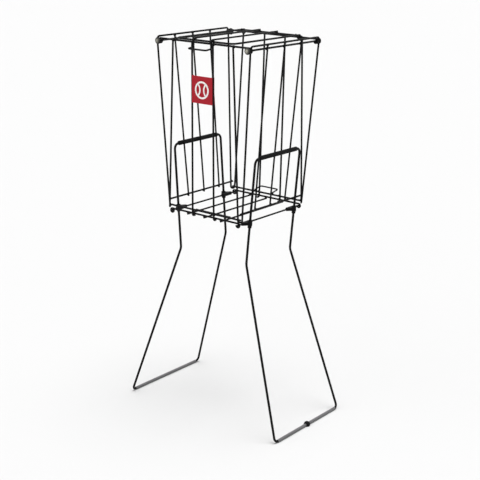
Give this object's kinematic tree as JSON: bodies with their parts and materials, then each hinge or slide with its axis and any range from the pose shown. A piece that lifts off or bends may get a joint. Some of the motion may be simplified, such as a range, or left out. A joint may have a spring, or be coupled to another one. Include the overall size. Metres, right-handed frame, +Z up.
{
  "type": "tennis ball hopper",
  "caption": "Wire tennis ball hopper: a tapered wire basket with a hinged lid, on two wire loops that slide and tilt to serve as legs or as carrying handles.",
  "frame": {"origin": "on the floor, under the middle of the basket", "axes": "+Z up, X from the left leg loop to the right leg loop, -Y towards the front wall with the red plate"},
  "size_m": [0.4938, 0.3089, 0.9724],
  "materials": {
    "black_wire": "steel wire under smooth glossy black powder coat",
    "zinc_cap": "zinc-plated steel, slightly dull and warm",
    "red_plastic": "smooth satin red plastic",
    "black_plastic": "satin moulded black plastic",
    "black_rubber": "soft matte black foam rubber",
    "grey_vinyl": "smooth mid-grey vinyl tube, satin"
  },
  "bodies": {
    "basket": {"left_side_hoop": "black_wire", "right_side_hoop": "black_wire", "left_axle_rod": "black_wire", "left_front_cap": "zinc_cap", "left_back_cap": "zinc_cap", "right_axle_rod": "black_wire", "right_front_cap": "zinc_cap", "right_back_cap": "zinc_cap", "front_top_rail": "black_wire", "back_top_rail": "black_wire", "front_lower_sill": "black_wire", "front_upper_sill": "black_wire", "back_lower_sill": "black_wire", "back_upper_sill": "black_wire", "left_floor_edge_rod": "black_wire", "right_floor_edge_rod": "black_wire", "left_floor_rod": "black_wire", "middle_floor_rod": "black_wire", "right_floor_rod": "black_wire", "floor_cross_wire": "black_wire", "front_left_wall_wire": "black_wire", "front_right_wall_wire": "black_wire", "back_left_wall_wire": "black_wire", "back_right_wall_wire": "black_wire", "left_side_rail": "black_wire", "left_front_side_wire": "black_wire", "left_middle_side_wire": "black_wire", "left_back_side_wire": "black_wire", "right_side_rail": "black_wire", "right_front_side_wire": "black_wire", "right_middle_side_wire": "black_wire", "right_back_side_wire": "black_wire", "back_bail": "black_wire", "red_plate": "red_plastic"},
    "lid": {"lid_frame": "black_wire", "lid_cross_wire": "black_wire", "lid_rods_and_handle": "black_wire"},
    "left_guides": {"left_front_guide": "black_plastic", "left_back_guide": "black_plastic"},
    "left_loop": {"left_leg_loop": "black_wire", "left_grip_sleeve": "black_rubber", "left_foot_sleeve": "grey_vinyl", "left_front_stop_collar": "black_plastic", "left_back_stop_collar": "black_plastic"},
    "right_guides": {"right_front_guide": "black_plastic", "right_back_guide": "black_plastic"},
    "right_loop": {"right_leg_loop": "black_wire", "right_grip_sleeve": "black_rubber", "right_foot_sleeve": "grey_vinyl", "right_front_stop_collar": "black_plastic", "right_back_stop_collar": "black_plastic", "foot_bar_ball": "black_rubber"}
  },
  "joints": [
    {"name": "lid_hinge", "type": "hinge", "parent": "basket", "child": "lid", "pos_m": [0, 0.13068, 0.9603], "axis": [-1, 0, 0], "range_deg": [0, 182]},
    {"name": "left_loop_tilt", "type": "hinge", "parent": "basket", "child": "left_guides", "pos_m": [-0.106, 0, 0.5305], "axis": [0, -1, 0], "range_deg": [0, 15]},
    {"name": "left_loop_slide", "type": "slide", "parent": "left_guides", "child": "left_loop", "axis": [-0.0832, 0, 0.9965], "range_m": [-0.12, 0]},
    {"name": "right_loop_tilt", "type": "hinge", "parent": "basket", "child": "right_guides", "pos_m": [0.106, 0, 0.5305], "axis": [0, 1, 0], "range_deg": [0, 15]},
    {"name": "right_loop_slide", "type": "slide", "parent": "right_guides", "child": "right_loop", "axis": [0.0832, 0, 0.9965], "range_m": [-0.12, 0]}
  ]
}
